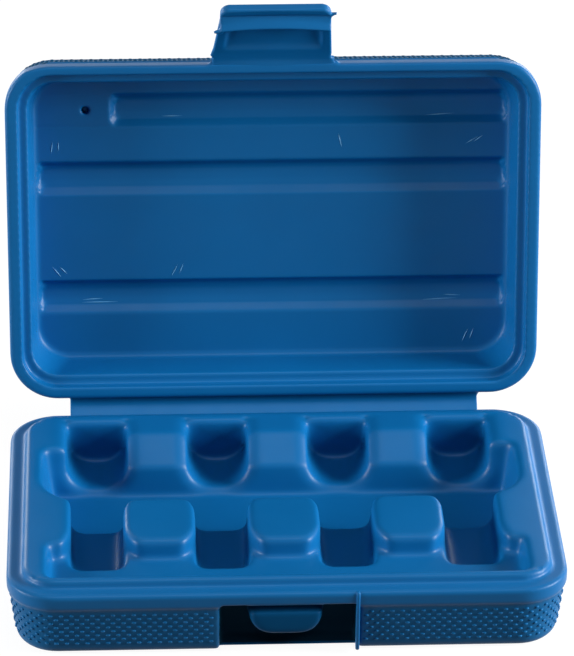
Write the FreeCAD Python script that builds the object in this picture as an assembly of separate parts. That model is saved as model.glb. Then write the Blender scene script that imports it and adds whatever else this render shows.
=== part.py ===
import FreeCAD, Part
import math
import os

# A small tool case, blow moulded in one shot with double walls. The base and the lid each have
# a textured outer shell and a smooth inner wall, pinched together along the rim. A folding strip
# joins them at the back and a latch tab on the lid's front rim hooks under a catch on the base.
# X runs along the width, the front faces -Y, the origin is the middle of the base's underside.
# The lid stands open. Sizes are in millimetres and angles in degrees.

# Overall form, shared by the base and the lid
case_width = 175.0
case_depth = 115.0
base_height = 23.0
lid_height = 23.0
corner_radius = 15.8
shell_wall = 1.6
liner_wall = 1.4
wall_draft = 7.0
bottom_round = 4.0
bead_height = 5.6
bead_projection = 0.9
bead_round = 1.2
bead_chamfer = 0.8
closed_gap = 0.3
overrun = 5.0
nearness = 0.016

# The base's raised lip and the lid's rebate that drops over it
lip_inset = 5.0
lip_height = 2.5
lip_lean = 0.3
rim_flange = 6.5
lip_clearance = 0.9
rebate_depth = 3.5
rebate_ledge = 3.3
lid_floor_depth = 18.0
lid_wall_lean = 1.2
lid_floor_corner = 12.0
lid_floor_round = 2.0

# Three stiffening grooves pressed into the lid's floor: one placed from the hinge edge and two from
# the latch edge, the last of them short, with the blow hole in line with it
groove_mouth = 11.4
groove_bed = 5.6
groove_depth = 2.2
groove_wall = 1.2
groove_end_gap = 0.4
groove_end_slope = 1.6
groove_end_radius = 2.5
hinge_groove_place = 30.2
middle_groove_place = 43.9
latch_groove_place = 20.7
short_groove_stop = 25.0
needle_hole = 2.6
needle_from_side = 26.0

# Rows of pockets in the base tray, which hold a set of bits lying front to back. The pads between
# them narrow to their front and rear by shares of the pad's width
pocket_count = 4
pocket_side = 22.95
pocket_border = 4.5
cradle_width = 19.5
cradle_depth = 14.0
cradle_round = 8.0
cradle_corner = 2.5
rear_block = 21.2
rim_round = 1.5
lip_chamfer = 0.8
rest_run = 9.0
rest_drop = 6.5
front_cradle_width = 16.6
front_cradle_depth = 13.5
front_cradle_round = 4.0
front_cradle_corner = 4.0
front_cradle_reach = 5.9
pad_length = 26.5
pad_front_taper_share = 0.437
pad_front_flare_share = 0.17
pad_rear_taper_share = 0.306
pad_rear_flare_share = 0.087
pad_corner = 2.5
side_taper = 10.0
side_flare = 2.6
trough_depth = 17.5
trough_lean = 2.9
trough_side = 5.3
trough_rear_corner = 4.0
trough_front_corner = 14.0
front_lip = 3.3
front_groove_width = 20.4
front_groove_depth = 6.5
front_groove_side = 7.2
front_groove_lean = 1.2
front_groove_corner = 3.0

# Latch recess and catch on the base's front wall
recess_width = 42.6
recess_depth = 3.3
recess_drop = 4.4
recess_round = 1.0
catch_width = 23.2
catch_top_gap = 1.2
catch_height = 10.0
catch_corner = 7.0
catch_proud = 0.5
catch_chamfer = 1.2
catch_shift = -1.0

# Folding strip at the back, creased along both edges
strip_width = 136.0
strip_thickness = 0.9
crease_radius = 0.6
crease_clearance = 0.05
crease_drop = 5.15
crease_gap = 0.3
saddle_height = 1.4
lid_open_angle = 100.0

# Latch tab, hinged along the front edge of the lid's rim
latch_width = 38.6
latch_reach = 23.5
latch_plate = 2.2
latch_web = 2.5
latch_set = 0.7
latch_gap = 0.3
latch_corner = 3.2
latch_root = 1.5
latch_tilt = 32.0
hook_clearance = 0.25
hook_height = 3.3
hook_crown = 0.9
hook_round = 0.3
hook_length = 3.7
finger_groove = 0.5
finger_lip_height = 0.8
latch_pocket_side = 3.4
latch_pocket_depth = 1.0
latch_pocket_slope = 4.0

# Places that follow from the sizes above
tray_top = base_height + lip_height
lip_rear = case_depth / 2 - lip_inset - lip_lean
lip_side = case_width / 2 - lip_inset - lip_lean
trough_rear = lip_rear - rear_block
pad_front = front_lip + front_groove_width - lip_rear
trough_front = pad_front + pad_length
trough_width = trough_rear - trough_front
wall_top_inset = bead_projection
draft_slope = math.tan(math.radians(wall_draft))
strip_length = 2 * crease_drop + closed_gap
crease_offset = strip_thickness / 2 + crease_gap
lid_fold = 180.0 - lid_open_angle
pocket_pitch = 2 * (lip_side - pocket_side) / (pocket_count - 1)
pocket_places = [(i - (pocket_count - 1) / 2) * pocket_pitch for i in range(pocket_count)]
pad_width = pocket_pitch - front_cradle_width
pad_front_taper = pad_front_taper_share * pad_width
pad_front_flare = pad_front_flare_share * pad_width
pad_rear_taper = pad_rear_taper_share * pad_width
pad_rear_flare = pad_rear_flare_share * pad_width


def vec(x, y, z):
    return FreeCAD.Vector(x, y, z)


# A closed outline in a level plane: straight sides and a quarter round at each corner
def outline(x_half, y_front, y_rear, front_radius, rear_radius, z):
    edges = []
    corners = ((1, y_rear, -1, rear_radius), (-1, y_rear, -1, rear_radius),
               (-1, y_front, 1, front_radius), (1, y_front, 1, front_radius))
    marks = []
    for side, y, inward, radius in corners:
        centre = vec(side * (x_half - radius), y + inward * radius, z)
        along_x = centre + vec(0, -inward * radius, 0)
        along_y = centre + vec(side * radius, 0, 0)
        middle = centre + vec(side * radius, -inward * radius, 0) * math.sqrt(0.5)
        middle.z = z
        first, last = (along_y, along_x) if side * inward < 0 else (along_x, along_y)
        marks.append((first, middle, last))
    for i, (first, middle, last) in enumerate(marks):
        edges.append(Part.Arc(first, middle, last).toShape())
        edges.append(Part.makeLine(last, marks[(i + 1) % len(marks)][0]))
    return Part.Wire(edges)


def case_outline(inset, z):
    radius = corner_radius - inset
    y_rear = case_depth / 2 - inset
    return outline(case_width / 2 - inset, -y_rear, y_rear, radius, radius, z)


def case_prism(low_inset, low_z, high_inset, high_z):
    return Part.makeLoft([case_outline(low_inset, low_z), case_outline(high_inset, high_z)], True, True)


# A pocket with a level floor and walls that lean in by lean over its depth, open at the tray's top
def basin(x_half, y_front, y_rear, front_radius, rear_radius, depth, lean):
    rise = lean * overrun / depth
    mouth = outline(x_half + rise, y_front - rise, y_rear + rise,
                    front_radius + rise, rear_radius + rise, tray_top + overrun)
    floor = outline(x_half - lean, y_front + lean, y_rear - lean,
                    front_radius - lean, rear_radius - lean, tray_top - depth)
    return Part.makeLoft([floor, mouth], True, True)


def prism_along_x(points, x_low, x_high):
    face = Part.Face(Part.makePolygon([vec(x_low, y, z) for y, z in points + points[:1]]))
    return face.extrude(vec(x_high - x_low, 0, 0))


def edges_where(shape, test):
    return [edge for edge in shape.Edges if test(edge.BoundBox)]


def level(box, z):
    return abs(box.ZMin - z) < nearness and abs(box.ZMax - z) < nearness


# The outer skin of one half: drafted walls with a rounded bottom edge and a bead round the rim
def half_solid(height):
    wall_top = height - bead_height
    lean = wall_top * draft_slope
    walls = case_prism(wall_top_inset + lean, 0, wall_top_inset, wall_top)
    walls = walls.makeFillet(bottom_round, edges_where(walls, lambda box: level(box, 0)))
    bead = case_prism(0, wall_top, 0, height)
    bead = bead.makeFillet(bead_round, edges_where(bead, lambda box: level(box, height)))
    bead = bead.makeChamfer(bead_chamfer, edges_where(bead, lambda box: level(box, wall_top)))
    return walls.fuse(bead)


def half_hollow(height):
    wall_top = height - bead_height
    lean = (wall_top - shell_wall) * draft_slope
    inset = wall_top_inset + shell_wall
    walls = case_prism(inset + lean, shell_wall, inset, wall_top)
    return walls.fuse(case_prism(inset, wall_top, inset, height - shell_wall))


# The saddle under the bead that carries a crease of the folding strip
def crease_saddle(height):
    axis_y = case_depth / 2 + crease_offset
    axis_z = height - crease_drop
    root_y = case_depth / 2 - wall_top_inset - shell_wall / 2
    points = [(root_y, axis_z - saddle_height), (axis_y, axis_z - saddle_height),
              (axis_y, axis_z), (root_y, axis_z)]
    saddle = prism_along_x(points, -strip_width / 2, strip_width / 2)
    return saddle.cut(barrel(crease_radius + crease_clearance, axis_y, axis_z, strip_width + overrun))


def barrel(radius, y, z, length):
    return Part.makeCylinder(radius, length, vec(-length / 2, y, z), vec(1, 0, 0))


# The hollow in the base's front wall for the folded latch, grown by a wall for its own lining
def latch_recess(grow):
    front = -case_depth / 2 - overrun
    top = base_height - recess_drop
    back = -case_depth / 2 + wall_top_inset + recess_depth + grow
    foot = back + (top + overrun) * draft_slope
    points = [(front, -overrun), (foot, -overrun), (back, top + grow), (front, top + grow)]
    return prism_along_x(points, -recess_width / 2 - grow, recess_width / 2 + grow)


def recess_edges(shape):
    def found(box):
        beside = abs(max(box.XMax, -box.XMin) - recess_width / 2) < nearness and box.XLength < nearness
        return beside and box.ZLength > bead_height and box.YMin < recess_depth - case_depth / 2
    return edges_where(shape, found)


def make_base_shell():
    solid = half_solid(base_height).cut(latch_recess(0))
    solid = solid.makeFillet(recess_round, recess_edges(solid))
    hollow = half_hollow(base_height).cut(latch_recess(shell_wall))
    mouth = case_prism(rim_flange, base_height - overrun, rim_flange, base_height + overrun)
    shell = solid.cut(hollow.fuse(mouth))
    return shell.fuse(crease_saddle(base_height)).removeSplitter()


# The catch is a rounded tongue on the back of the recess, flat on top
def make_catch_nub():
    top = base_height - recess_drop - catch_top_gap
    bottom = top - catch_height
    half = catch_width / 2
    front = -case_depth / 2 + wall_top_inset - catch_proud
    corner = catch_corner * (1 - math.sqrt(0.5))
    marks = [vec(half, front, top), vec(half, front, bottom + catch_corner),
             vec(half - catch_corner, front, bottom), vec(catch_corner - half, front, bottom),
             vec(-half, front, bottom + catch_corner), vec(-half, front, top)]
    right_mid = vec(half - corner, front, bottom + corner)
    left_mid = vec(corner - half, front, bottom + corner)
    edges = [Part.makeLine(marks[0], marks[1]), Part.Arc(marks[1], right_mid, marks[2]).toShape(),
             Part.makeLine(marks[2], marks[3]), Part.Arc(marks[3], left_mid, marks[4]).toShape(),
             Part.makeLine(marks[4], marks[5]), Part.makeLine(marks[5], marks[0])]
    body = Part.Face(Part.Wire(edges)).extrude(vec(0, case_depth / 2, 0))
    face_edges = edges_where(body, lambda box: box.YMax < front + catch_chamfer / 2)
    body = body.makeChamfer(catch_chamfer, face_edges)
    body.translate(vec(catch_shift, 0, 0))
    back = case_prism(0, -overrun, 0, base_height + overrun)
    return body.common(latch_recess(0)).common(back)


# One round bottomed channel of the tray along Y. Its hidden side, one wall further out, has a flat
# on each corner that touches the round
def channel(x, y_front, y_rear, width, depth, radius, hidden):
    half = width / 2
    bottom = tray_top - depth
    mouth = tray_top + overrun
    turn = radius * (1 - math.sqrt(0.5))
    corner = 2 * turn if hidden else radius
    right = [vec(half, 0, mouth), vec(half, 0, bottom + corner),
             vec(half - turn, 0, bottom + turn), vec(half - corner, 0, bottom)]
    left = [vec(-point.x, 0, point.z) for point in right]
    if hidden:
        turns = [Part.makeLine(right[1], right[3]), Part.makeLine(left[3], left[1])]
    else:
        turns = [Part.Arc(*right[1:]).toShape(), Part.Arc(*left[:0:-1]).toShape()]
    edges = [Part.makeLine(right[0], right[1]), turns[0], Part.makeLine(right[3], left[3]), turns[1],
             Part.makeLine(left[1], left[0]), Part.makeLine(left[0], right[0])]
    solid = Part.Face(Part.Wire(edges)).extrude(vec(0, y_rear - y_front, 0))
    solid.translate(vec(x, y_front, 0))
    return solid


def upright_edges(solid, y):
    def found(box):
        return max(abs(box.YMin - y), abs(box.YMax - y), box.XLength) < nearness
    return edges_where(solid, found)


# The hidden sides keep plain ends
def rear_cradle(x, grow):
    rear = lip_rear - pocket_border + grow
    front = trough_rear - trough_lean - grow
    half = cradle_width / 2 + grow
    solid = channel(x, front, rear, 2 * half, cradle_depth + grow, cradle_round + grow, grow > 0)
    if grow:
        return solid
    plan = outline(half, front - 2 * cradle_corner, rear, cradle_corner, cradle_corner, 0)
    plan.translate(vec(x, 0, 0))
    return solid.common(Part.Face(plan).extrude(vec(0, 0, tray_top + overrun)))


def front_cradle(x, grow):
    front = pad_front - front_cradle_reach - grow
    solid = channel(x, front, trough_front + trough_lean + grow, front_cradle_width + 2 * grow,
                    front_cradle_depth + grow, front_cradle_round + grow, grow > 0)
    if grow:
        return solid
    return solid.makeFillet(front_cradle_corner, upright_edges(solid, front))


# The curve that narrows a pad towards its front or back, cut as a flare on one side of the channel
# beside it. The hidden side runs on straight where the curve ends
def pad_flare(x, side, y_end, taper, flare, grow):
    ahead = math.copysign(1, taper)
    run = abs(taper)
    reach = run + front_groove_lean
    radius = (run * run + flare * flare) / (2 * flare)
    turn = math.asin(reach / radius)
    z = tray_top + overrun
    root = vec(x + side * (front_cradle_width / 2 + grow), y_end - taper, z)
    middle = root + vec(side * radius * (1 - math.cos(turn / 2)), ahead * radius * math.sin(turn / 2), 0)
    bend = root + vec(side * radius * (1 - math.cos(turn)), ahead * reach, 0)
    tip = bend + vec(side * grow * math.tan(turn), ahead * grow, 0)
    marks = [bend, vec(x, bend.y, z), vec(x, root.y, z), root]
    if grow:
        marks = [bend, tip, vec(x, tip.y, z), vec(x, root.y, z), root]
    edges = [Part.Arc(root, middle, bend).toShape()]
    edges += [Part.makeLine(marks[i], marks[i + 1]) for i in range(len(marks) - 1)]
    return Part.Face(Part.Wire(edges)).extrude(vec(0, 0, -front_groove_depth - grow - overrun))


def finger_basin(grow):
    front_corner = min(trough_front_corner, trough_width / 2)
    rear_corner = min(trough_rear_corner, trough_width / 2)
    return basin(lip_side - trough_side + grow, trough_front - grow, trough_rear + grow,
                 front_corner + grow, rear_corner + grow, trough_depth + grow, trough_lean)


def front_basin(grow):
    return basin(lip_side - front_groove_side + grow, front_lip - lip_rear - grow, pad_front + grow,
                 front_groove_corner + grow, front_groove_corner + grow,
                 front_groove_depth + grow, front_groove_lean)


# The sloped rests between the rear cradles
def rest_slope(grow):
    drop = grow / math.cos(math.atan2(rest_drop, rest_run))
    slope = rest_drop / rest_run
    low = trough_rear - trough_lean - grow
    high = trough_rear + rest_run + overrun
    foot = tray_top - rest_drop - drop
    points = [(low, foot - (trough_rear - low) * slope), (high, foot + (high - trough_rear) * slope),
              (low, foot + (high - trough_rear) * slope)]
    reach = pocket_places[-1]
    return prism_along_x(points, -reach, reach)


def tray_pockets(grow):
    cuts = [front_basin(grow), rest_slope(grow)]
    for x in pocket_places:
        cuts.append(rear_cradle(x, grow))
        cuts.append(front_cradle(x, grow))
    for x in pocket_places[:-1]:
        for side, beside in ((1, x), (-1, x + pocket_pitch)):
            cuts.append(pad_flare(beside, side, pad_front, -pad_front_taper, pad_front_flare, grow))
            cuts.append(pad_flare(beside, side, trough_front, pad_rear_taper, pad_rear_flare, grow))
    for side in (-1, 1):
        cuts.append(pad_flare(side * pocket_places[-1], side, pad_front, -side_taper, side_flare, grow))
    return finger_basin(grow).fuse(cuts)


# The upright corners of the pads, where the channels run into the trough and the front groove
def pad_corners(shape):
    def found(box):
        by_trough = abs(box.YMin - trough_front) < front_groove_lean
        by_groove = abs(box.YMax - pad_front) < front_groove_lean
        upright = box.ZLength > front_groove_depth / 2 and box.ZMax > tray_top - rim_round
        return upright and max(box.XLength, box.YLength) < pad_front_flare / 2 and (by_trough or by_groove)
    return edges_where(shape, found)


def tray_rims(shape, on_lip):
    def found(box):
        by_rear = max(box.YMax, -box.YMin) > lip_rear - lip_chamfer
        by_side = max(box.XMax, -box.XMin) > lip_side - lip_chamfer
        return level(box, tray_top) and (by_rear or by_side) == on_lip
    return edges_where(shape, found)


def make_base_tray():
    plate = case_prism(lip_inset, base_height, lip_inset + lip_lean, tray_top)
    below = case_prism(rim_flange, 0, rim_flange, base_height)
    surface = plate.fuse(below).cut(tray_pockets(0)).removeSplitter()
    surface = surface.makeFillet(pad_corner, pad_corners(surface))
    surface = surface.makeFillet(rim_round, tray_rims(surface, False))
    surface = surface.makeChamfer(lip_chamfer, tray_rims(surface, True))
    lining = tray_pockets(liner_wall).common(below).fuse(plate)
    return surface.common(lining).removeSplitter()


# The lid is drawn like the base, rim up and hinge at +Y, and swung into place at the end
def make_lid_shell():
    rebate_inset = lip_inset - lip_clearance
    solid = half_solid(lid_height).fuse(latch_saddle())
    lining = case_prism(rebate_inset - liner_wall, lid_height - rebate_depth - liner_wall,
                        rebate_inset - liner_wall, lid_height + overrun)
    shell = solid.cut(half_hollow(lid_height).fuse(lining))
    return shell.fuse(crease_saddle(lid_height)).removeSplitter()


def latch_saddle():
    axis_y = -case_depth / 2 - latch_set - latch_gap
    axis_z = lid_height - latch_set
    root_y = -case_depth / 2 + bead_round
    stop_y = axis_y + latch_set + crease_gap
    points = [(root_y, axis_z - saddle_height), (axis_y, axis_z - saddle_height), (axis_y, axis_z),
              (stop_y, axis_z), (stop_y, lid_height), (root_y, lid_height)]
    half = latch_width / 2 + latch_root
    saddle = prism_along_x(points, -half, half)
    return saddle.cut(barrel(crease_radius + crease_clearance, axis_y, axis_z, latch_width + overrun))


def lid_cup(grow):
    inset = lip_inset - lip_clearance
    ledge = inset + rebate_ledge - grow
    floor = lid_height - lid_floor_depth - grow
    rebate = case_prism(inset - grow, lid_height - rebate_depth - grow, inset - grow, lid_height + overrun)
    foot = ledge + lid_wall_lean
    corner = lid_floor_corner + grow
    low = outline(case_width / 2 - foot, foot - case_depth / 2, case_depth / 2 - foot, corner, corner, floor)
    high = case_outline(ledge, lid_height - rebate_depth)
    bowl = Part.makeLoft([low, high], True, True)
    if not grow:
        bowl = bowl.makeFillet(lid_floor_round, edges_where(bowl, lambda box: level(box, floor)))
    return rebate.fuse(bowl)


# A groove with sloping sides and ends, sunk into the lid's floor
def lid_groove(middle, x_low, x_high, grow):
    floor = lid_height - lid_floor_depth
    half = (x_high - x_low) / 2 + grow
    bed = groove_bed / 2 + grow
    mouth = groove_mouth / 2 + grow
    low = outline(half - groove_end_slope, middle - bed, middle + bed, groove_end_radius, groove_end_radius,
                  floor - groove_depth - grow)
    high = outline(half, middle - mouth, middle + mouth, groove_end_radius, groove_end_radius, floor)
    solid = Part.makeLoft([low, high], True, True)
    solid.translate(vec((x_low + x_high) / 2, 0, 0))
    return solid


def lid_grooves(grow):
    side = case_width / 2 - lip_inset + lip_clearance - rebate_ledge - lid_wall_lean - groove_end_gap
    latch_edge = -case_depth / 2
    return [lid_groove(case_depth / 2 - hinge_groove_place, -side, side, grow),
            lid_groove(latch_edge + middle_groove_place, -side, side, grow),
            lid_groove(latch_edge + latch_groove_place, -side, side - short_groove_stop, grow)]


def make_lid_liner():
    skin = lid_cup(liner_wall).common(case_prism(0, 0, 0, lid_height)).fuse(lid_grooves(groove_wall))
    hole = Part.makeCylinder(needle_hole / 2, lid_height, vec(case_width / 2 - needle_from_side,
                             latch_groove_place - case_depth / 2, 0))
    return skin.cut([lid_cup(0), hole] + lid_grooves(0)).removeSplitter()


# The strip is drawn flat from the base's crease at the origin out to the lid's crease
def make_hinge_strip():
    half = strip_width / 2
    plate = Part.makeBox(strip_width, strip_length, strip_thickness, vec(-half, 0, -strip_thickness / 2))
    for y in (0, strip_length):
        plate = plate.fuse(barrel(crease_radius, y, 0, strip_width))
    return plate.removeSplitter()


# The tab is drawn flat from its crease at the origin, with its inner side up
def make_latch_tab():
    catch_bottom = base_height - recess_drop - catch_top_gap - catch_height
    pivot_height = base_height + closed_gap + latch_set
    hook = pivot_height - catch_bottom + hook_clearance
    half = latch_width / 2
    outer = latch_set - latch_plate
    bed = latch_set - latch_pocket_depth
    crown = latch_set + hook_height
    heel = hook + hook_length
    plate = Part.makeBox(latch_width, latch_reach - latch_web, latch_plate, vec(-half, latch_web, outer))
    near_tip = latch_reach - latch_corner
    tips = edges_where(plate, lambda box: box.YMin > near_tip and box.ZLength > latch_plate / 2)
    plate = plate.makeFillet(latch_corner, tips)
    ridge = prism_along_x([(hook, bed), (hook, crown), (hook + hook_crown, crown),
                           (heel, latch_set), (heel, bed)], -half, half)
    crests = edges_where(ridge, lambda box: level(box, crown) and box.XLength > half)
    ridge = ridge.makeFillet(hook_round, crests)
    lip = plate.copy()
    lip.translate(vec(0, 0, finger_lip_height))
    beyond = Part.makeBox(latch_width, latch_reach, latch_plate * 2, vec(-half, heel + finger_groove, bed))
    lip = lip.common(beyond)
    pocket = prism_along_x([(latch_web, latch_plate), (latch_web, latch_set),
                            (latch_web + latch_pocket_slope, bed), (hook, bed), (hook, latch_plate)],
                           latch_pocket_side - half, half - latch_pocket_side)
    return plate.cut(pocket).fuse([latch_web_plate(), ridge, lip]).removeSplitter()


# The thin web along the crease widens to its root with a concave round at each end
def latch_web_plate():
    half = latch_width / 2
    root = half + latch_root
    thick = 2 * crease_radius
    web = Part.makeBox(2 * root, latch_web + latch_plate, thick, vec(-root, 0, -crease_radius))
    for side in (-1, 1):
        hollow = Part.makeCylinder(latch_root, thick, vec(side * root, latch_root, -crease_radius))
        beside = Part.makeBox(latch_root, latch_web + latch_plate, thick,
                              vec(min(side * half, side * root), latch_root, -crease_radius))
        web = web.cut([hollow, beside])
    return web.fuse(barrel(crease_radius, 0, 0, 2 * root))


def swing(shape, angle, y, z):
    shape.rotate(vec(0, 0, 0), vec(1, 0, 0), angle)
    shape.translate(vec(0, y, z))
    return shape


def place_strip(shape):
    return swing(shape, lid_fold / 2, case_depth / 2 + crease_offset, base_height - crease_drop)


def place_lid(shape):
    shape.rotate(vec(0, 0, 0), vec(0, 0, 1), 180)
    shape.translate(vec(0, case_depth / 2 + crease_offset, crease_drop - lid_height))
    shape.rotate(vec(0, 0, 0), vec(1, 0, 0), lid_fold / 2)
    shape.translate(vec(0, strip_length, 0))
    return place_strip(shape)


def place_latch(shape):
    shape.rotate(vec(0, 0, 0), vec(1, 0, 0), latch_tilt)
    shape.rotate(vec(0, 0, 0), vec(0, 0, 1), 180)
    shape = swing(shape, 0, -case_depth / 2 - latch_set - latch_gap, lid_height - latch_set)
    return place_lid(shape)


os.makedirs("parts", exist_ok=True)
nodes = {
    "base_shell": make_base_shell(),
    "base_tray": make_base_tray(),
    "catch_nub": make_catch_nub(),
    "hinge_strip": place_strip(make_hinge_strip()),
    "lid_shell": place_lid(make_lid_shell()),
    "lid_liner": place_lid(make_lid_liner()),
    "latch_tab": place_latch(make_latch_tab()),
}
for name, shape in nodes.items():
    shape.exportStep("parts/" + name + ".step")
    print(name, len(shape.Solids), shape.isValid(), round(shape.Volume))
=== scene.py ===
import math

import bmesh
import bpy
import numpy
from mathutils import Matrix, Vector
from mathutils.bvhtree import BVHTree


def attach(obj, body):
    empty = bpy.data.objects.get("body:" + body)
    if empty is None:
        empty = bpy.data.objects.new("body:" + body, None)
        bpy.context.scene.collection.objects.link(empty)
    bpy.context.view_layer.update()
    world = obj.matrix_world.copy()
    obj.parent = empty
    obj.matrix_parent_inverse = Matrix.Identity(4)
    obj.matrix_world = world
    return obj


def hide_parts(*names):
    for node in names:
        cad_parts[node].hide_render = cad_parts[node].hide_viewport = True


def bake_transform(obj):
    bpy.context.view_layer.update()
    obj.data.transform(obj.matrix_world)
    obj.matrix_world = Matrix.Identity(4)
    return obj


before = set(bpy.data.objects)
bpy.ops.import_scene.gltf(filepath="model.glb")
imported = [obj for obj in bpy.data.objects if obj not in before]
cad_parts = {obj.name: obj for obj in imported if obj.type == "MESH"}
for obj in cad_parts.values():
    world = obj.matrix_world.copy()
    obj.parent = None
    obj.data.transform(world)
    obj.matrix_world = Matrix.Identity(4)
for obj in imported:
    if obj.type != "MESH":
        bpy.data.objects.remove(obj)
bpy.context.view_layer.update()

# Base of the case: one hollow blow moulding in high density polyethylene. The outer skin and the tray
# pressed down inside it are welded where the mould pinches them, round the rim. Only the side that
# touched the mould is crisp, so every edge of the tray and of the catch comes out soft.
mm = 0.001
base_nodes = ("base_shell", "base_tray", "catch_nub")
voxel = 0.5 * mm
smoothing_strength = 0.5
rim_passes = 10
tray_passes = 48
kept_faces_share = 0.35
tray_half_width = 79.0
tray_half_depth = 49.5
tray_lowest = 2.5
half_width = 87.5
half_depth = 57.5
bead_projection = 0.9
wall_top = 17.4
wall_draft = math.radians(7.0)
bottom_round = 4.0
corner_radius = 15.8
wall_zone = 4.2
recess_half_width = 21.6
recess_top = 18.9
recess_plain = 3.6
recess_extra = 6.5
recess_fade = 16.0
underside = 1.2
# Box of the recess faces that are coloured with the near-black painted shade.
recess_shade_front = -55.2
recess_shade_back = -43.0
recess_shade_lowest = 0.3
catch_middle = -1.0
catch_half_width = 12.2
catch_bottom = 6.9
catch_top = 17.9
catch_back = -50.0
nose_bottom = 5.2
nose_middle = 11.0
nose_droop = 0.22
nose_droop_run = 2.5
cradle_pitch = 39.5
cradle_places = [cradle_pitch * (k - 1.5) for k in range(4)]
cradle_half_width = 9.75
cradle_floor = 11.5
cradle_round = 8.0
cradle_front = 24.0
cradle_rear = 48.8
cradle_lowest = 8.6
rolled_width = 3.4
rolled_drop = 1.5
rolled_inside = 1.2
rolled_way = (0.0, 0.6, -0.8)


# Turns what the modifiers make into the piece's own mesh, shaded smooth.
def settle(piece):
    shaped = piece.evaluated_get(bpy.context.evaluated_depsgraph_get())
    piece.data = bpy.data.meshes.new_from_object(shaped)
    piece.data.name = piece.name
    piece.modifiers.clear()
    piece.data.polygons.foreach_set("use_smooth", [True] * len(piece.data.polygons))


def places_of(mesh):
    places = numpy.empty(len(mesh.vertices) * 3)
    mesh.vertices.foreach_get("co", places)
    return places.reshape(-1, 3) / mm


# Joins the frame's skins and any filler into one closed skin, pulls it into its drawn shape and lets its
# edges go soft, softer still where the plastic was pressed deep.
def soft_moulding(name, nodes, filler, grain, passes, pressed, pressed_passes, share, reshape=None):
    skins = bmesh.new()
    for node in nodes:
        skins.from_mesh(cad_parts[node].data)
    if filler:
        skins.from_mesh(filler)
    mesh = bpy.data.meshes.new(name)
    skins.to_mesh(mesh)
    skins.free()
    piece = bpy.data.objects.new(name, mesh)
    bpy.context.scene.collection.objects.link(piece)
    weld = piece.modifiers.new("one_skin", "REMESH")
    weld.mode = "VOXEL"
    weld.voxel_size = grain
    settle(piece)
    if reshape:
        piece.data.vertices.foreach_set("co", (reshape(places_of(piece.data)) * mm).ravel())
    soften = piece.modifiers.new("soft_edges", "SMOOTH")
    soften.factor = smoothing_strength
    soften.iterations = passes
    if pressed_passes:
        deep = piece.vertex_groups.new(name="pressed_deep")
        deep.add(numpy.flatnonzero(pressed(places_of(piece.data))).tolist(), 1.0, "REPLACE")
        sink = piece.modifiers.new("soft_pressing", "SMOOTH")
        sink.factor = smoothing_strength
        sink.iterations = pressed_passes
        sink.vertex_group = deep.name
    thin = piece.modifiers.new("fewer_faces", "DECIMATE")
    thin.ratio = share
    settle(piece)
    piece.vertex_groups.clear()
    piece.data.materials.clear()
    return piece


def in_tray(places):
    x, y, z = places.T
    in_hollow = (abs(x) < tray_half_width) & (abs(y) < tray_half_depth) & (z > tray_lowest)
    on_nose = (abs(x - catch_middle) < catch_half_width) & (y < -tray_half_depth) & (z > nose_bottom)
    return in_hollow | (on_nose & (z < catch_top))


# Draws the latch recess deeper into the front wall, and lets the front of the catch's top edge droop.
def deeper_recess(places):
    x, y, z = places.T
    in_round = numpy.clip(bottom_round - z, 0, bottom_round)
    foot = bottom_round - numpy.sqrt(bottom_round ** 2 - in_round ** 2)
    lean = numpy.clip(wall_top - z, 0, wall_top) * math.tan(wall_draft)
    wall = bead_projection - half_depth + lean + foot
    depth = y - wall
    within = (abs(x) < recess_half_width) & (depth > 0) & (depth < recess_fade)
    within &= (z < recess_top) & ((depth < recess_plain) | (z < underside))
    drawn = numpy.interp(depth, (0, recess_plain, recess_fade),
                         (0, recess_plain + recess_extra, recess_fade))
    moved = places.copy()
    moved[:, 1] += numpy.where(within, drawn - depth, 0)
    on_nose = within & (abs(x - catch_middle) < catch_half_width) & (z > nose_bottom)
    forward = numpy.clip((recess_plain - depth) / nose_droop_run, 0, 1)
    moved[:, 2] -= numpy.where(on_nose, nose_droop * numpy.clip(z - nose_middle, 0, None) * forward, 0)
    return moved


# Rolls the rims of the rear cradles over, down and back.
def rolled_cradle_rims(places):
    x, y, z = places.T
    near = (y > cradle_front) & (y < cradle_rear) & (z > cradle_lowest)
    drop = numpy.zeros(len(places))
    for centre in cradle_places:
        aside = abs(x - centre)
        lower = numpy.hypot(numpy.clip(aside - cradle_half_width + cradle_round, 0, None),
                            numpy.clip(cradle_floor + cradle_round - z, 0, None)) - cradle_round
        away = numpy.where(z < cradle_floor + cradle_round, lower, aside - cradle_half_width)
        share = numpy.where(away > 0, 1 - away / rolled_width, 1 + away / rolled_inside)
        drop = numpy.maximum(drop, rolled_drop * numpy.clip(share, 0, 1))
    return places + numpy.outer(drop * near, rolled_way)


def face_middles(mesh):
    middles = numpy.empty(len(mesh.polygons) * 3)
    mesh.polygons.foreach_get("center", middles)
    return middles.reshape(-1, 3) / mm


def on_outer_wall(x, y, z):
    past_x = abs(x) - half_width + corner_radius
    past_y = abs(y) - half_depth + corner_radius
    round_corner = numpy.hypot(numpy.clip(past_x, 0, None), numpy.clip(past_y, 0, None)) - corner_radius
    inward = -round_corner - numpy.minimum(numpy.maximum(past_x, past_y), 0)
    return (z < wall_top) & (inward < wall_zone)


# Turns an sRGB hex value to linear light.
def linear(hex_colour):
    shares = [int(hex_colour[i:i + 2], 16) / 255 for i in (1, 3, 5)]
    return [s / 12.92 if s <= 0.04045 else ((s + 0.055) / 1.055) ** 2.4 for s in shares] + [1.0]


def add_node(tree, kind, settings=(), values=(), links=()):
    node = tree.nodes.new(kind)
    for name, setting in dict(settings).items():
        setattr(node, name, setting)
    for socket, value in dict(values).items():
        node.inputs[socket].default_value = value
    for socket, source in dict(links).items():
        tree.links.new(source, node.inputs[socket])
    return node


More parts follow.
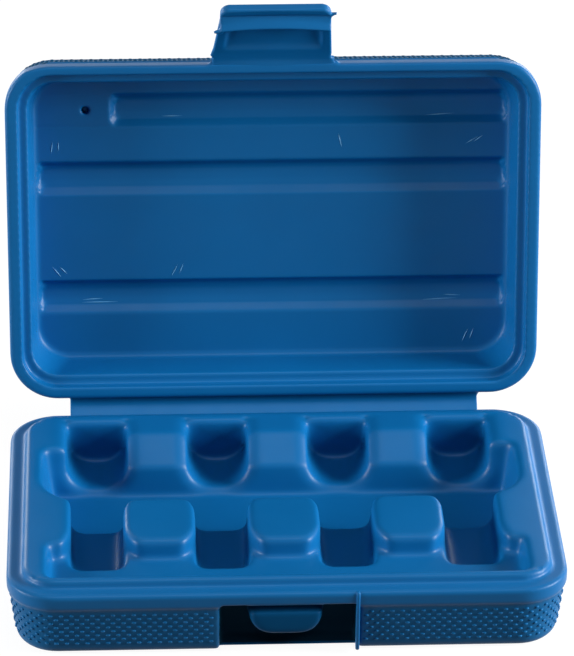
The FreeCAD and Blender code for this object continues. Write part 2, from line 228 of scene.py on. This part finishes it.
# Blow-moulded high density polyethylene, coloured right through with blue pigment: a satin skin with
# a faint orange peel from the blasted mould, soft clouds in the pigment, fine draw lines where the
# wall was stretched, and gloss that is slightly uneven where the wall cooled slower.
def moulded_hdpe(name, deep, bright, smooth_end, dull_end, peel_depth, shine=0.19):
    cloud_size = 24 * mm
    gloss_size = 7 * mm
    peel_size = 1.1 * mm
    draw_width = 1.3 * mm
    draw_length = 45 * mm
    draw_depth = 0.006 * mm
    refractive_index = 1.54
    material = bpy.data.materials.new(name)
    material.use_nodes = True
    tree = material.node_tree
    shader = tree.nodes["Principled BSDF"]
    shader.inputs["IOR"].default_value = refractive_index
    shader.inputs["Specular IOR Level"].default_value = shine
    place = add_node(tree, "ShaderNodeTexCoord").outputs["Object"]
    cloud = add_node(tree, "ShaderNodeTexNoise", values={"Scale": 1 / cloud_size, "Detail": 3.0},
                     links={"Vector": place})
    tint = add_node(tree, "ShaderNodeMix", {"data_type": "RGBA"}, {6: linear(deep), 7: linear(bright)},
                    {0: cloud.outputs["Fac"]})
    tree.links.new(tint.outputs[2], shader.inputs["Base Color"])
    gloss = add_node(tree, "ShaderNodeTexNoise", values={"Scale": 1 / gloss_size, "Detail": 4.0},
                     links={"Vector": place})
    spread = add_node(tree, "ShaderNodeMapRange", values={"To Min": smooth_end, "To Max": dull_end},
                      links={"Value": gloss.outputs["Fac"]})
    tree.links.new(spread.outputs["Result"], shader.inputs["Roughness"])
    drawn = add_node(tree, "ShaderNodeMapping",
                     values={"Scale": (1 / draw_width, 1 / draw_length, 1 / draw_length)},
                     links={"Vector": place})
    lines = add_node(tree, "ShaderNodeTexNoise", values={"Scale": 1.0, "Detail": 2.0},
                     links={"Vector": drawn.outputs["Vector"]})
    draw_bump = add_node(tree, "ShaderNodeBump", values={"Strength": 1.0, "Distance": draw_depth},
                         links={"Height": lines.outputs["Fac"]})
    peel = add_node(tree, "ShaderNodeTexNoise", values={"Scale": 1 / peel_size, "Detail": 2.0},
                    links={"Vector": place})
    peel_bump = add_node(tree, "ShaderNodeBump", values={"Strength": 1.0, "Distance": peel_depth},
                         links={"Height": peel.outputs["Fac"], "Normal": draw_bump.outputs["Normal"]})
    tree.links.new(peel_bump.outputs["Normal"], shader.inputs["Normal"])
    return material


satin_blue = moulded_hdpe("hdpe_blow_moulded_satin", "#06619D", "#076AA9", 0.32, 0.46, 0.01 * mm)
base = soft_moulding("base_moulding", base_nodes, None, voxel, rim_passes, in_tray, tray_passes,
                     kept_faces_share, lambda places: rolled_cradle_rims(deeper_recess(places)))
# Painted shade: the faces round the catch, inside the latch recess, get a nearly black blue that stands for
# the deep shade in there.
# The catch itself gets a blue a little darker than the tray's, which is painted shade too.
recess_painted_shade_blue = moulded_hdpe("hdpe_recess_painted_shade", "#133C53", "#16455F", 0.5, 0.6, 0.01 * mm, 0.03)
catch_painted_shade_blue = moulded_hdpe("hdpe_catch_painted_shade", "#064C7C", "#075486", 0.42, 0.54, 0.01 * mm, 0.06)
# The outer walls came off grained steel and are duller; their darker blue between the dots is painted shade.
grained_wall_painted_shade_blue = moulded_hdpe("hdpe_grained_wall_painted_shade", "#085B90", "#09639A", 0.44, 0.56, 0.02 * mm, 0.16)
base_blues_and_painted_shades = (satin_blue, recess_painted_shade_blue, catch_painted_shade_blue, grained_wall_painted_shade_blue)
for blue_or_painted_shade in base_blues_and_painted_shades:
    base.data.materials.append(blue_or_painted_shade)
x, y, z = face_middles(base.data).T
# Painted shade: the faces inside the latch recess get the near-black blue.
in_recess = (abs(x) < recess_half_width) & (y > recess_shade_front) & (y < recess_shade_back)
in_recess &= (z < recess_top) & (z > recess_shade_lowest)
# Painted shade: the faces of the catch get a blue a little darker than the tray's.
on_catch = (abs(x - catch_middle) < catch_half_width) & (y < catch_back)
on_catch &= (z > catch_bottom) & (z < catch_top)
# Each face keeps the tray's blue unless it lies on the catch, in the recess or on the outer wall, where it
# gets that place's painted shade.
zones = (on_catch, in_recess, on_outer_wall(x, y, z))
painted_shade_slots = [base_blues_and_painted_shades.index(blue_or_painted_shade) for blue_or_painted_shade in (catch_painted_shade_blue, recess_painted_shade_blue, grained_wall_painted_shade_blue)]
base.data.polygons.foreach_set("material_index", numpy.select(zones, painted_shade_slots, 0))
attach(base, "base")
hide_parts(*base_nodes)

# Grip grain of the base: rows of small lens-shaped dots, cut as dimples into the mould's steel and so
# standing up from the outer wall. They run round all four sides and stop at the latch recess in front
# and at the hinge saddle behind.
dot_rows = 8
lowest_row = 4.6
row_spacing = 1.55
dot_pitch = 3.2
first_dot_share = 0.25
row_stagger_share = 0.5
dot_half_length = 0.8
dot_half_width = 0.5
base_dot_height = 0.4
dot_sink = 0.06
dot_sides = 8
dot_shoulder_share = 0.6
dot_shoulder_height = 0.72
saddle_half_width = 69.5
saddle_bottom = 15.4
recess_margin = 1.8


def wall_bend(height):
    return corner_radius - bead_projection - (wall_top - height) * math.tan(wall_draft)


middle_bend = wall_bend(lowest_row + row_spacing * (dot_rows - 1) / 2)
wall_length = 4 * (half_width + half_depth - 2 * corner_radius) + 2 * math.pi * middle_bend


# Where a dot sits after a walk round the wall from the front end of its right-hand side, with the
# directions out of the wall and along it.
def wall_seat(walk, height):
    bend = wall_bend(height)
    reach = (half_width - corner_radius, half_depth - corner_radius)
    quarter = math.pi / 2 * middle_bend
    for side in range(4):
        angle = side * math.pi / 2
        straight = 2 * reach[1 - side % 2]
        outward = Vector((math.cos(angle), math.sin(angle), 0))
        onward = Vector((-math.sin(angle), math.cos(angle), 0))
        far = reach[side % 2] + bend
        if walk < straight:
            return outward * far + onward * (walk - straight / 2), outward, onward
        walk -= straight
        if walk < quarter:
            turn = angle + walk / middle_bend
            way = Vector((math.cos(turn), math.sin(turn), 0))
            centre = outward * reach[side % 2] + onward * straight / 2
            return centre + way * bend, way, Vector((-math.sin(turn), math.cos(turn), 0))
        walk -= quarter
    return None


def grip_dots(name, dot_height, bare, carry):
    points = []
    faces = []
    per_row = round(wall_length / dot_pitch)
    pitch = wall_length / per_row
    for row in range(dot_rows):
        height = lowest_row + row * row_spacing
        for step in range(per_row):
            walk = (step + row % 2 * row_stagger_share + first_dot_share) * pitch
            seat, outward, onward = wall_seat(walk, height)
            seat.z = height
            if bare(seat):
                continue
            out = outward * math.cos(wall_draft) - Vector((0, 0, math.sin(wall_draft)))
            rise = out.cross(onward)
            first = len(points)
            for share, lift in ((1.0, -dot_sink), (dot_shoulder_share, dot_height * dot_shoulder_height)):
                for k in range(dot_sides):
                    turn = 2 * math.pi * k / dot_sides
                    points.append(carry(seat + out * lift + onward * dot_half_length * share * math.cos(turn)
                                        + rise * dot_half_width * share * math.sin(turn)) * mm)
            points.append(carry(seat + out * dot_height) * mm)
            top = first + 2 * dot_sides
            for k in range(dot_sides):
                after = (k + 1) % dot_sides
                low, low_next = first + k, first + after
                faces.append((low, low_next, low_next + dot_sides, low + dot_sides))
                faces.append((low + dot_sides, low_next + dot_sides, top))
            faces.append(tuple(first + k for k in reversed(range(dot_sides))))
    mesh = bpy.data.meshes.new(name)
    mesh.from_pydata(points, [], faces)
    mesh.polygons.foreach_set("use_smooth", [True] * len(mesh.polygons))
    dots = bpy.data.objects.new(name, mesh)
    bpy.context.scene.collection.objects.link(dots)
    return dots


def bare_on_base(seat):
    in_recess = seat.y < 0 and abs(seat.x) < recess_half_width + recess_margin
    in_saddle = seat.y > 0 and abs(seat.x) < saddle_half_width and seat.z > saddle_bottom
    return in_recess or in_saddle


# The dots keep about the tray's own blue, left out of the wall's painted shade, so they stand lighter than
# the wall between them: painted light, for tops that catch the lamps.
dot_painted_light_blue = moulded_hdpe("hdpe_grain_dots_painted_light", "#06629A", "#086CA8", 0.38, 0.5, 0.008 * mm, 0.16)
base_dots = grip_dots("base_grip_dots", base_dot_height, bare_on_base, lambda place: place)
base_dots.data.materials.append(dot_painted_light_blue)
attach(base_dots, "base")

# Flash fin on the base: a thin upright sliver of the moulding, left where two blocks of the mould meet
# at the right-hand edge of the latch recess and never trimmed flush.
fin_near = 20.7
fin_far = 21.9
fin_outline = ((-56.3, 23.1), (-57.6, 22.8), (-57.95, 21.4), (-57.9, 17.0), (-57.4, 8.0), (-57.1, 2.8),
               (-56.6, 1.5), (-55.8, 1.1), (-54.6, 1.3), (-53.4, 2.6), (-54.4, 14.0), (-55.8, 20.0))
fin_edge_round = 0.4
fin_edge_steps = 2


# A flat piece of even thickness: the outline at its near side and at its far side, closed all round.
def slab(outline, near, far, carry):
    shape = bmesh.new()
    rings = [[shape.verts.new(carry(side, a, b) * mm) for a, b in outline] for side in (near, far)]
    shape.faces.new(rings[0])
    shape.faces.new(rings[1][::-1])
    for k in range(len(outline)):
        after = (k + 1) % len(outline)
        shape.faces.new((rings[0][k], rings[1][k], rings[1][after], rings[0][after]))
    bmesh.ops.recalc_face_normals(shape, faces=shape.faces)
    mesh = bpy.data.meshes.new("slab")
    shape.to_mesh(mesh)
    shape.free()
    return mesh


fin = bpy.data.objects.new("recess_flash_fin", slab(fin_outline, fin_near, fin_far,
                                                    lambda x, y, z: Vector((x, y, z))))
bpy.context.scene.collection.objects.link(fin)
fin_round = fin.modifiers.new("worn_edge", "BEVEL")
fin_round.width = fin_edge_round * mm
fin_round.segments = fin_edge_steps
settle(fin)
fin.data.materials.append(satin_blue)
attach(fin, "base")

# Lid: the same double moulding, standing open. Its flat rim drops over the lip of the tray, and three
# grooves pressed into the floor stiffen it. The blow needle went in through the small round hole that
# lies in line with the short groove.
lid_nodes = ("lid_shell", "lid_liner")
crease_gap = 0.75
crease_height = 17.85
base_crease = Vector((0, half_depth + crease_gap, crease_height))
strip_length = 10.6
strip_lean = math.radians(40.0)
strip_along = Vector((0, math.cos(strip_lean), math.sin(strip_lean)))
lid_crease = base_crease + strip_along * strip_length
lid_lean = 2 * strip_lean
lid_along = Vector((0, math.cos(lid_lean), math.sin(lid_lean)))
lid_out = Vector((0, -math.sin(lid_lean), math.cos(lid_lean)))
lid_floor = 5.0
groove_places = (30.2, 71.1, 94.3)
groove_half_mouth = 5.7
groove_half_bed = 2.8
groove_depth = 2.2
groove_tolerance = 0.45
# A groove's drawn section from its hinge side to its latch side: across it, and down from the floor.
drawn_across = (-5.9, -3.3, -1.0, 1.0, 2.6, 3.6, 4.3, 4.9, 5.5)
drawn_depth = (0.0, 2.1, 2.7, 2.9, 2.8, 2.45, 1.9, 1.1, 0.0)
lid_passes = 5
wall_lean = 0.122
lean_start = 108.0
bead_trim = 1.1
trim_start = 112.0
needle_x = -61.5
needle_v = groove_places[-1]
needle_radius = 1.3
needle_tube_radius = 2.2
needle_tube_low = 1.4
needle_tube_high = 3.8
needle_tube_sides = 32


# How far the wall at the latch side leans in, and the bead beside it is trimmed back, at v up the lid
# from its hinge edge and h from its outer face towards its open side.
def leaned_wall(v, h):
    near_latch = numpy.clip((v - lean_start) / (2 * half_depth - lean_start), 0, 1)
    near_edge = numpy.clip((v - trim_start) / (2 * half_depth - trim_start), 0, 1)
    return numpy.where(h > wall_top, bead_trim * near_edge, wall_lean * (wall_top - h) * near_latch)


def lid_place(x, v, h):
    foot = Vector((x, 0, 0)) + lid_crease
    return foot + lid_along * (v + crease_gap) + lid_out * (h - crease_height)


def lid_run(places):
    away = places - numpy.array(lid_crease)
    return away @ numpy.array(lid_along) - crease_gap, away @ numpy.array(lid_out) + crease_height


# Rounds the beds of the floor's grooves, steepest on their latch side, and leans the latch-side wall.
def drawn_lid(places):
    v, h = lid_run(places)
    sink = numpy.zeros(len(places))
    for middle in groove_places:
        mouth_left = (groove_half_mouth - abs(v - middle)) / (groove_half_mouth - groove_half_bed)
        flat_sided = groove_depth * numpy.clip(mouth_left, 0, 1)
        on_groove = abs(h - lid_floor + flat_sided) < groove_tolerance
        sink += numpy.where(on_groove, numpy.interp(v - middle, drawn_across, drawn_depth) - flat_sided, 0)
    sunk = places - numpy.outer(sink, numpy.array(lid_out))
    return sunk - numpy.outer(leaned_wall(v, h), numpy.array(lid_along))


tube = bmesh.new()
rings = []
for radius, h in ((needle_tube_radius, needle_tube_low), (needle_tube_radius, needle_tube_high),
                  (needle_radius, needle_tube_high), (needle_radius, needle_tube_low)):
    turns = [2 * math.pi * k / needle_tube_sides for k in range(needle_tube_sides)]
    round_hole = [lid_place(needle_x + radius * math.cos(turn), needle_v + radius * math.sin(turn), h)
                  for turn in turns]
    rings.append([tube.verts.new(place * mm) for place in round_hole])
for ring, other in zip(rings, rings[1:] + rings[:1]):
    for k in range(needle_tube_sides):
        after = (k + 1) % needle_tube_sides
        tube.faces.new((ring[k], ring[after], other[after], other[k]))
bmesh.ops.recalc_face_normals(tube, faces=tube.faces)
needle_tube = bpy.data.meshes.new("needle_tube")
tube.to_mesh(needle_tube)
tube.free()

lid = soft_moulding("lid_moulding", lid_nodes, needle_tube, voxel, lid_passes, None, 0, kept_faces_share,
                    drawn_lid)
lid.data.materials.append(satin_blue)
# The lid's outer wall has the same grain as the base's, in a darker blue that is painted shade.
lid_wall_painted_shade_blue = moulded_hdpe("hdpe_lid_wall_painted_shade", "#07496F", "#08507A", 0.5, 0.6, 0.02 * mm, 0.06)
lid.data.materials.append(lid_wall_painted_shade_blue)
middles = face_middles(lid.data)
v, h = lid_run(middles)
on_wall = on_outer_wall(middles[:, 0], v - half_depth, h)
lid.data.polygons.foreach_set("material_index", on_wall.astype(int))
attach(lid, "lid")
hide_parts(*lid_nodes)

# Grip grain of the lid: the same dots round the lid's outer wall, bare where the latch grows out of the
# rim in front and where the folding strip joins behind.
latch_root_half_width = 23.4
lid_dot_height = 0.26


def bare_on_lid(seat):
    over_latch = seat.y < 0 and abs(seat.x) < latch_root_half_width and seat.z > saddle_bottom
    in_saddle = seat.y > 0 and abs(seat.x) < saddle_half_width and seat.z > saddle_bottom
    return over_latch or in_saddle


def on_lid_wall(place):
    v = half_depth - place.y
    return lid_place(-place.x, v - leaned_wall(v, place.z), place.z)


lid_dots = grip_dots("lid_grip_dots", lid_dot_height, bare_on_lid, on_lid_wall)
# Painted shade: the lid's dots share the lid wall's darker blue.
lid_dots.data.materials.append(lid_wall_painted_shade_blue)
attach(lid_dots, "lid")

# Scuffs on the lid's floor: short raised scratches, some of them in pairs, where a burr on the mould or
# the ends of the tools have dragged the soft plastic up. Each is listed by its place across the lid and
# up it, its slant in degrees and its length.
scuff_pairs = ((-71.6, 81.7, 82, 4.0), (67.4, 82.7, 30, 5.0), (-31.4, 38.9, 62, 4.6),
               (-70.7, 38.8, 128, 4.4), (66.0, 14.6, 66, 5.0))
scuff_singles = ((22.6, 83.2, 104, 5.0), (-32.9, 91.6, 0, 7.0), (55.7, 91.2, 3, 10.0), (-57.6, 27.4, 0, 12.0),
                 (56.4, 27.0, 2, 12.0), (-60.0, 28.4, 3, 7.0), (60.5, 28.2, -3, 6.0))
scuff_gap = 2.2
twin_lead = scuff_gap / 4
twin_slant = 6
twin_length_share = 0.8
scuff_half_width = 0.2
scuff_height = 0.14
scuff_sink = 0.05
scuff_stations = 7
scuff_thinnest = 0.15
scuff_probe = 15.0
lid_surface = BVHTree.FromObject(lid, bpy.context.evaluated_depsgraph_get())


def floor_under(x, v):
    return lid_surface.ray_cast(lid_place(x, v, scuff_probe) * mm, -lid_out)[0]


strokes = list(scuff_singles)
for x, v, slant, length in scuff_pairs:
    strokes.append((x - scuff_gap / 2, v, slant, length))
    strokes.append((x + scuff_gap / 2, v + twin_lead, slant + twin_slant, length * twin_length_share))
scratches = bmesh.new()
for x, v, slant, length in strokes:
    way = (math.cos(math.radians(slant)), math.sin(math.radians(slant)))
    sections = []
    for k in range(scuff_stations):
        share = max(scuff_thinnest, math.sin(math.pi * k / (scuff_stations - 1)))
        run = length * (k / (scuff_stations - 1) - 0.5)
        section = []
        for side, lift in ((-1, -scuff_sink), (1, -scuff_sink), (0, scuff_height * share)):
            aside = side * scuff_half_width * share
            foot = floor_under(x + way[0] * run - way[1] * aside, v + way[1] * run + way[0] * aside)
            section.append(scratches.verts.new(foot + lid_out * lift * mm))
        sections.append(section)
    for near, far in zip(sections, sections[1:]):
        for k in range(3):
            after = (k + 1) % 3
            scratches.faces.new((near[k], near[after], far[after], far[k]))
    scratches.faces.new(sections[0])
    scratches.faces.new(sections[-1][::-1])
bmesh.ops.recalc_face_normals(scratches, faces=scratches.faces)
scratch_mesh = bpy.data.meshes.new("lid_floor_scuffs")
scratches.to_mesh(scratch_mesh)
scratches.free()
scuffs = bpy.data.objects.new("lid_floor_scuffs", scratch_mesh)
bpy.context.scene.collection.objects.link(scuffs)
# Dragged polyethylene whitens under strain, so the scratches are paler and duller than the floor.
strained_blue = moulded_hdpe("hdpe_strained_pale", "#5AA6D4", "#7FBDE2", 0.5, 0.65, 0.01 * mm)
scuffs.data.materials.append(strained_blue)
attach(scuffs, "lid")

# Folding strip: the same wall pressed thin between the two shells, creased along the base and along
# the lid. It spreads a little at each end where it runs out into the lid's rim and the base's.
strip_half_width = 68.0
strip_out = Vector((0, -math.sin(strip_lean), math.cos(strip_lean)))
strip_half_thickness = 0.42
spread_steps = 6
spread_overlap = 0.6
# For each end: its side, and how far it spreads at the lid and at the base.
end_spreads = ((1, 2.3, 1.2), (-1, 1.2, 1.0))
strip_grain = 0.3 * mm
strip_passes = 6


def strip_place(x, run, rise):
    return Vector((x, 0, 0)) + base_crease + strip_along * run + strip_out * rise


gussets = bmesh.new()
for side, lid_spread, base_spread in end_spreads:
    for start, way, spread in ((strip_length, -1, lid_spread), (0.0, 1, base_spread)):
        outline = [(strip_half_width - spread_overlap, start)]
        for k in range(spread_steps + 1):
            turn = math.pi / 2 * k / spread_steps
            outline.append((strip_half_width + spread * (1 - math.sin(turn)),
                            start + way * spread * (1 - math.cos(turn))))
        outline.append((strip_half_width - spread_overlap, start + way * spread))
        wedge = slab(outline, -strip_half_thickness, strip_half_thickness,
                     lambda rise, x, run: strip_place(side * x, run, rise))
        gussets.from_mesh(wedge)
gusset_mesh = bpy.data.meshes.new("strip_gussets")
gussets.to_mesh(gusset_mesh)
gussets.free()
strip = soft_moulding("folding_strip", ("hinge_strip",), gusset_mesh, strip_grain, strip_passes, None, 0,
                      kept_faces_share)
strip.data.materials.append(satin_blue)
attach(strip, "strip")
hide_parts("hinge_strip")

# Latch: a tab that grows out of the lid's front rim through a thin web, with a hook across its inner
# side and a finger lip beyond it. It widens towards its root, where the rim's flat land runs out into
# it, and it carries two nibs of flash at its edges.
latch_fold = math.radians(32.0)
latch_turn = lid_lean + latch_fold
rim_height = 23.0
latch_crease_past_rim = 1.0
latch_crease_below_rim = 0.7
latch_pivot = lid_place(0, 2 * half_depth + latch_crease_past_rim, rim_height - latch_crease_below_rim)
latch_along = Vector((0, math.cos(latch_turn), math.sin(latch_turn)))
latch_in = Vector((0, -math.sin(latch_turn), math.cos(latch_turn)))
latch_half_width = 19.3
latch_grain = 0.28 * mm
latch_passes = 16
latch_kept_share = 0.5
# The root in section, up the lid and out from its outer face, with its edges to the right and the left.
root_top = ((112.3, 22.6), (113.2, 22.98), (114.4, 23.06), (115.4, 23.22), (116.5, 23.66), (117.7, 24.27),
            (119.4, 24.68), (120.7, 25.03))
root_right = (21.4, 21.4, 21.2, 20.2, 19.4, 19.0, 18.6, 18.0)
root_left = (20.6, 20.6, 20.5, 20.3, 20.1, 19.9, 19.5, 19.0)
root_thickness = 1.0
root_columns = 12
# The tab's width against its reach, as a share of the frame's.
width_reach = (0.6, 2.0, 18.0)
width_left = (0.976, 1.035, 0.912)
width_right = (0.95, 0.974, 0.938)
hook_bow = 1.5
hook_bow_start = 0.9
hook_bow_full = 2.2
left_nib = ((-18.2, 15.8), (-21.7, 17.1), (-18.2, 18.1))
right_nib = ((18.4, 19.2), (21.7, 21.3), (18.4, 20.9))
left_nib_depth = (2.4, 3.9)
right_nib_depth = (0.0, 1.2)
pocket_half_width = 18.2
pocket_start = 2.6
pocket_hook = 16.6
pocket_face = 0.7
pocket_lowest = -0.9
pocket_draw = 1.8
pocket_draw_power = 0.7
pocket_passes = 70
pocket_soft_start = 1.0
pocket_soft_end = 15.4


# On the latch, reach runs out from the crease at its root and depth towards the side with the hook.
def latch_place(x, reach, depth):
    return Vector((x, 0, 0)) + latch_pivot + latch_along * reach + latch_in * depth


def latch_run(places):
    away = places - numpy.array(latch_pivot)
    return away @ numpy.array(latch_along), away @ numpy.array(latch_in)


def in_latch_pocket(places):
    reach, depth = latch_run(places)
    within = (abs(places[:, 0]) < pocket_half_width) & (depth > pocket_lowest)
    return within & (reach > pocket_soft_start) & (reach < pocket_soft_end)


# Slopes the pocket between root and hook, so that it is shallow at the root and deepest at the hook.
def pocket_deeper_at_hook(places):
    reach, depth = latch_run(places)
    in_pocket = (abs(places[:, 0]) < pocket_half_width) & (depth < pocket_face) & (depth > pocket_lowest)
    in_pocket &= (reach > pocket_start) & (reach < pocket_hook)
    toward_hook = numpy.clip((reach - pocket_start) / (pocket_hook - pocket_start), 0, 1)
    share = pocket_draw * toward_hook ** pocket_draw_power
    raised = numpy.where(in_pocket, (pocket_face - depth) * (1 - share), 0)
    return places + numpy.outer(raised, numpy.array(latch_in))


root = bmesh.new()
grid = []
for drop in (0.0, root_thickness):
    for (v, h), right_edge, left_edge in zip(root_top, root_right, root_left):
        across = [-left_edge + (left_edge + right_edge) * k / root_columns
                  for k in range(root_columns + 1)]
        grid.append([root.verts.new(lid_place(x, v, h - drop) * mm) for x in across])
rows = len(root_top)
for level in (0, rows):
    for r in range(level, level + rows - 1):
        for k in range(root_columns):
            root.faces.new((grid[r][k], grid[r][k + 1], grid[r + 1][k + 1], grid[r + 1][k]))
for r in range(rows - 1):
    for k in (0, root_columns):
        root.faces.new((grid[r][k], grid[r + 1][k], grid[r + 1 + rows][k], grid[r + rows][k]))
for r in (0, rows - 1):
    for k in range(root_columns):
        root.faces.new((grid[r][k], grid[r][k + 1], grid[r + rows][k + 1], grid[r + rows][k]))
bmesh.ops.recalc_face_normals(root, faces=root.faces)
for outline, depth in ((left_nib, left_nib_depth), (right_nib, right_nib_depth)):
    root.from_mesh(slab(outline, depth[0], depth[1], lambda rise, x, reach: latch_place(x, reach, rise)))
root_mesh = bpy.data.meshes.new("latch_root")
root.to_mesh(root_mesh)
root.free()

latch = soft_moulding("latch_moulding", ("latch_tab",), root_mesh, latch_grain, latch_passes,
                      in_latch_pocket, pocket_passes, latch_kept_share, pocket_deeper_at_hook)
places = places_of(latch.data)
reach, depth = latch_run(places)
width = numpy.where(places[:, 0] < 0, numpy.interp(reach, width_reach, width_left),
                    numpy.interp(reach, width_reach, width_right))
places[:, 0] *= width
tab_share = numpy.clip(abs(places[:, 0]) / latch_half_width, 0, 1)
hook = numpy.clip((depth - hook_bow_start) / (hook_bow_full - hook_bow_start), 0, 1)
places -= numpy.outer(hook_bow * hook * tab_share ** 2, numpy.array(latch_along))
latch.data.vertices.foreach_set("co", (places * mm).ravel())
latch.data.update()
latch.data.materials.append(satin_blue)
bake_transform(latch)
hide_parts("latch_tab")

# Floor: a sweep of white paper that the case stands on. Seen directly it is white, and it keeps the
# case's soft shadow; the light that it throws back up is that of a duller grey.
floor_half = 4.0
floor_mesh = bpy.data.meshes.new("floor")
floor_shape = bmesh.new()
bmesh.ops.create_grid(floor_shape, x_segments=1, y_segments=1, size=floor_half)
floor_shape.to_mesh(floor_mesh)
floor_shape.free()
floor = bpy.data.objects.new("floor", floor_mesh)
bpy.context.scene.collection.objects.link(floor)
# Matt paper, with the faint mottle of its fibres: white to the eye.
fibre_size = 3 * mm
paper_glow = 0.93
paper = bpy.data.materials.new("matt_white_paper")
paper.use_nodes = True
sheet = paper.node_tree
sheet.nodes.clear()
sheet_place = add_node(sheet, "ShaderNodeTexCoord").outputs["Object"]
fibres = add_node(sheet, "ShaderNodeTexNoise", values={"Scale": 1 / fibre_size, "Detail": 3.0},
                  links={"Vector": sheet_place})
bounced = add_node(sheet, "ShaderNodeMix", {"data_type": "RGBA"},
                   {6: linear("#424242"), 7: linear("#4A4A4A")}, {0: fibres.outputs["Fac"]})
shaded = add_node(sheet, "ShaderNodeMix", {"data_type": "RGBA"},
                  {6: linear("#666666"), 7: linear("#6A6A6A")}, {0: fibres.outputs["Fac"]})
dull = add_node(sheet, "ShaderNodeBsdfDiffuse", links={"Color": bounced.outputs[2]})
shadow = add_node(sheet, "ShaderNodeBsdfDiffuse", links={"Color": shaded.outputs[2]})
glow = add_node(sheet, "ShaderNodeEmission", values={"Color": linear("#FFFFFF"), "Strength": paper_glow})
seen_paper = add_node(sheet, "ShaderNodeAddShader", links={0: shadow.outputs[0], 1: glow.outputs[0]})


# One for a ray from the eye, straight or by way of gloss or glass, and nought for stray light.
def seen_by_eye(tree):
    path = add_node(tree, "ShaderNodeLightPath")
    eye = add_node(tree, "ShaderNodeMath", {"operation": "MAXIMUM"},
                   links={0: path.outputs["Is Camera Ray"], 1: path.outputs["Is Glossy Ray"]})
    seen = add_node(tree, "ShaderNodeMath", {"operation": "MAXIMUM"},
                    links={0: eye.outputs[0], 1: path.outputs["Is Transmission Ray"]})
    return seen.outputs[0]


sheet_mix = add_node(sheet, "ShaderNodeMixShader",
                     links={0: seen_by_eye(sheet), 1: dull.outputs[0], 2: seen_paper.outputs[0]})
add_node(sheet, "ShaderNodeOutputMaterial", links={"Surface": sheet_mix.outputs[0]})
floor_mesh.materials.append(paper)

# Studio: white walls behind the floor, strong softboxes to the right and the left of the case, a weak one
# above it and two weak ones behind it, which light its back.
room_light = 0.05
world = bpy.data.worlds.new("studio")
world.use_nodes = True
bpy.context.scene.world = world
sky = world.node_tree
sky.nodes.clear()
room = add_node(sky, "ShaderNodeBackground", values={"Color": linear("#FFFFFF"), "Strength": room_light})
white = add_node(sky, "ShaderNodeBackground", values={"Color": linear("#FFFFFF"), "Strength": 1.0})
sky_mix = add_node(sky, "ShaderNodeMixShader",
                   links={0: seen_by_eye(sky), 1: room.outputs[0], 2: white.outputs[0]})
add_node(sky, "ShaderNodeOutputWorld", links={"Surface": sky_mix.outputs[0]})

light_aim = Vector((0, 30, 50)) * mm


# Azimuth is in degrees round from the case's front, elevation in degrees up, lengths in metres.
def softbox(name, azimuth, elevation, distance, width, height, power):
    turn, rise = math.radians(azimuth), math.radians(elevation)
    way = Vector((math.sin(turn) * math.cos(rise), -math.cos(turn) * math.cos(rise), math.sin(rise)))
    lamp = bpy.data.lights.new(name, "AREA")
    lamp.shape = "RECTANGLE"
    lamp.size = width
    lamp.size_y = height
    lamp.energy = power
    box = bpy.data.objects.new(name, lamp)
    box.location = light_aim + way * distance
    box.rotation_euler = (-way).to_track_quat("-Z", "Y").to_euler()
    bpy.context.scene.collection.objects.link(box)


softbox("right_softbox", 80, 18, 1.3, 0.5, 0.55, 28.0)
softbox("left_softbox", -80, 12, 1.3, 0.5, 0.45, 14.5)
softbox("top_softbox", 0, 75, 1.3, 0.5, 0.5, 2.2)
softbox("rear_right_softbox", 150, 10, 1.4, 0.6, 0.4, 5.0)
softbox("rear_left_softbox", -150, 10, 1.4, 0.6, 0.4, 5.0)

# Camera at the photograph's place, fitted to the rims and edges of the open case.
view_azimuth = math.radians(-2.523)
view_elevation = math.radians(28.969)
view_roll = math.radians(0.389)
view_target = Vector((0, 30, 50)) * mm
view_distance = 1332.1 * mm
focal_pixels = 4116.1
image_height_pixels = 656
principal_right_pixels = -8.42
principal_down_pixels = 51.84
sensor = 36.0
far_clip = 20.0
back = Vector((math.sin(view_azimuth) * math.cos(view_elevation),
               -math.cos(view_azimuth) * math.cos(view_elevation), math.sin(view_elevation)))
level_right = (-back).cross(Vector((0, 0, 1))).normalized()
level_up = level_right.cross(-back)
right = math.cos(view_roll) * level_right + math.sin(view_roll) * level_up
up = math.cos(view_roll) * level_up - math.sin(view_roll) * level_right
lens = bpy.data.cameras.new("camera")
lens.sensor_width = sensor
lens.lens = focal_pixels / image_height_pixels * sensor
lens.shift_x = -principal_right_pixels / image_height_pixels
lens.shift_y = principal_down_pixels / image_height_pixels
lens.clip_end = far_clip
camera = bpy.data.objects.new("camera", lens)
turn = Matrix((right, up, back)).transposed().to_4x4()
camera.matrix_world = Matrix.Translation(view_target + back * view_distance) @ turn
bpy.context.scene.collection.objects.link(camera)
bpy.context.scene.camera = camera
bpy.context.scene.view_settings.view_transform = "Standard"
